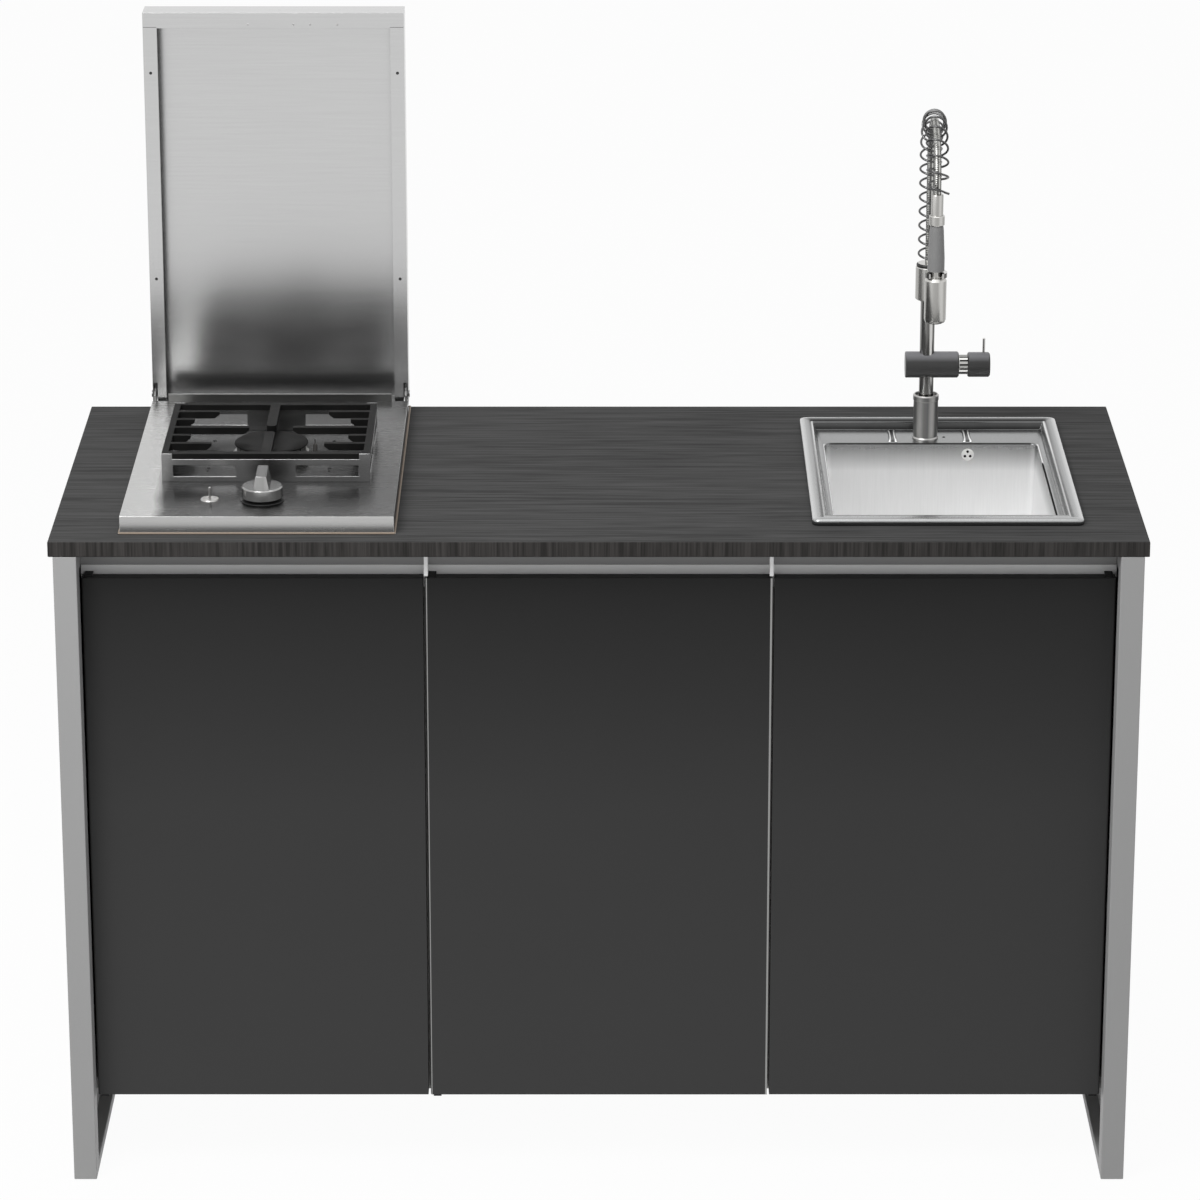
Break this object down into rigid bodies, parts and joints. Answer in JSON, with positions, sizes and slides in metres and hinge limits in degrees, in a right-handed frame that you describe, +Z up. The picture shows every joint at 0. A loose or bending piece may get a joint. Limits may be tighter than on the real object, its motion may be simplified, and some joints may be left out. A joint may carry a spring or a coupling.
{
  "type": "outdoor kitchen unit",
  "caption": "Free-standing outdoor kitchen: steel frame, three dark doors, wood-grain worktop, single-burner gas hob under a hinged lid, and an inset sink with a spring tap.",
  "frame": {"origin": "on the floor, under the middle of the worktop", "axes": "+X to the right seen from the front, +Y to the back, +Z up"},
  "size_m": [1.5, 0.65, 1.551],
  "materials": {
    "frame_steel": "light grey powder coat, satin",
    "channel_grey": "pale grey powder coat, satin",
    "knob_steel": "satin",
    "satin_steel": "satin",
    "panel_grey": "light grey powder coat, satin",
    "board_grey": "light grey faced board, matte",
    "door_board": "anthracite faced board, matte",
    "worktop_board": "dark grey faced board with a fine wood grain, matte",
    "zinc": "satin",
    "white_plastic": "matte",
    "lid_steel": "fine brushed",
    "tray_steel": "fine brushed",
    "trivet_steel": "fine brushed",
    "sink_steel": "fine brushed",
    "black_steel": "black, matte",
    "strip_metal": "satin",
    "spring_steel": "polished wire",
    "cast_iron": "black enamel, matte",
    "burner_alloy": "cast, satin",
    "brass": "satin",
    "spindle_steel": "satin",
    "chrome": "polished",
    "black_ring": "matte",
    "dark_body": "dark grey, satin",
    "hose_metal": "wound strip, satin",
    "grip_silicone": "matte"
  },
  "bodies": {
    "cabinet": {"front_legs": "frame_steel", "rear_legs": "frame_steel", "foot_rails": "frame_steel", "front_rail": "frame_steel", "rear_rail": "frame_steel", "depth_rails": "frame_steel", "floor_cleats": "frame_steel", "grip_channel": "channel_grey", "side_panels": "panel_grey", "back_panel": "board_grey", "floor_panel": "board_grey", "partitions": "board_grey", "shelf": "board_grey", "worktop": "worktop_board", "shelf_pins": "zinc", "lid_hinges": "zinc", "door_pivots": "black_steel", "door_catches": "white_plastic", "drain_trap": "white_plastic", "spark_electrode": "white_plastic", "hob_tray": "tray_steel", "hob_underbox": "tray_steel", "trivet_frame": "trivet_steel", "sink": "sink_steel", "grate": "cast_iron", "burner_cap": "cast_iron", "burner_base": "burner_alloy", "burner_crown": "burner_alloy", "gas_valve": "brass", "gas_pipe": "brass", "supply_tails": "brass", "strainer_basket": "spindle_steel", "drain_fittings": "spindle_steel", "igniter_base": "chrome", "tap_base": "chrome", "tap_stem": "chrome", "mixer_neck": "chrome", "knob_ring": "black_ring", "mixer_body": "dark_body"},
    "left_door": {"left_door": "door_board", "left_door_fittings": "white_plastic"},
    "middle_door": {"middle_door": "door_board", "middle_door_strips": "strip_metal", "middle_door_fittings": "white_plastic"},
    "right_door": {"right_door": "door_board", "right_door_fittings": "white_plastic"},
    "lid": {"lid": "lid_steel"},
    "gas_plug": {"valve_plug": "brass"},
    "gas_knob": {"valve_spindle": "spindle_steel", "knob": "knob_steel"},
    "igniter": {"igniter_button": "chrome"},
    "tap_handle": {"mixer_handle": "dark_body", "lever_pin": "chrome"},
    "swivel_arm": {"tap_column": "chrome", "spring_sleeve": "satin_steel", "tap_spring": "spring_steel", "tap_hose": "hose_metal", "holder_arm": "chrome"},
    "spray": {"spray_grip": "grip_silicone", "spray_head": "satin_steel"}
  },
  "joints": [
    {"name": "left_door_hinge", "type": "hinge", "parent": "cabinet", "child": "left_door", "pos_m": [-0.6998, -0.2795, 0.5], "axis": [0, 0, -1], "range_deg": [0, 90]},
    {"name": "middle_door_hinge", "type": "hinge", "parent": "cabinet", "child": "middle_door", "pos_m": [-0.2286, -0.2795, 0.5], "axis": [0, 0, -1], "range_deg": [0, 90]},
    {"name": "right_door_hinge", "type": "hinge", "parent": "cabinet", "child": "right_door", "pos_m": [0.6998, -0.2795, 0.5], "axis": [0, 0, 1], "range_deg": [0, 90]},
    {"name": "lid_hinge", "type": "hinge", "parent": "cabinet", "child": "lid", "pos_m": [-0.46708, 0.285, 0.9815], "axis": [1, 0, 0], "range_deg": [0, 90]},
    {"name": "gas_valve_turn", "type": "hinge", "parent": "cabinet", "child": "gas_plug", "pos_m": [-0.46358, -0.213, 0.946], "axis": [0, 0, 1], "range_deg": [0, 210]},
    {"name": "gas_knob_push", "type": "slide", "parent": "gas_plug", "child": "gas_knob", "axis": [0, 0, -1], "range_m": [0, 0.003], "stiffness_N_per_m": 1500, "springref_m": -0.008},
    {"name": "igniter_push", "type": "slide", "parent": "cabinet", "child": "igniter", "axis": [0, 0, -1], "range_m": [0, 0.003], "stiffness_N_per_m": 500, "springref_m": -0.003},
    {"name": "tap_handle_turn", "type": "hinge", "parent": "cabinet", "child": "tap_handle", "pos_m": [0.54878, 0.18, 1.056], "axis": [1, 0, 0], "range_deg": [0, 100]},
    {"name": "tap_swivel", "type": "hinge", "parent": "cabinet", "child": "swivel_arm", "pos_m": [0.47378, 0.18, 1.1], "axis": [0, 0, 1], "range_deg": [-90, 90]},
    {"name": "spray_pull", "type": "slide", "parent": "swivel_arm", "child": "spray", "axis": [0, -1, 0], "range_m": [0, 0.04], "deforming": ["tap_spring", "tap_hose"]}
  ]
}
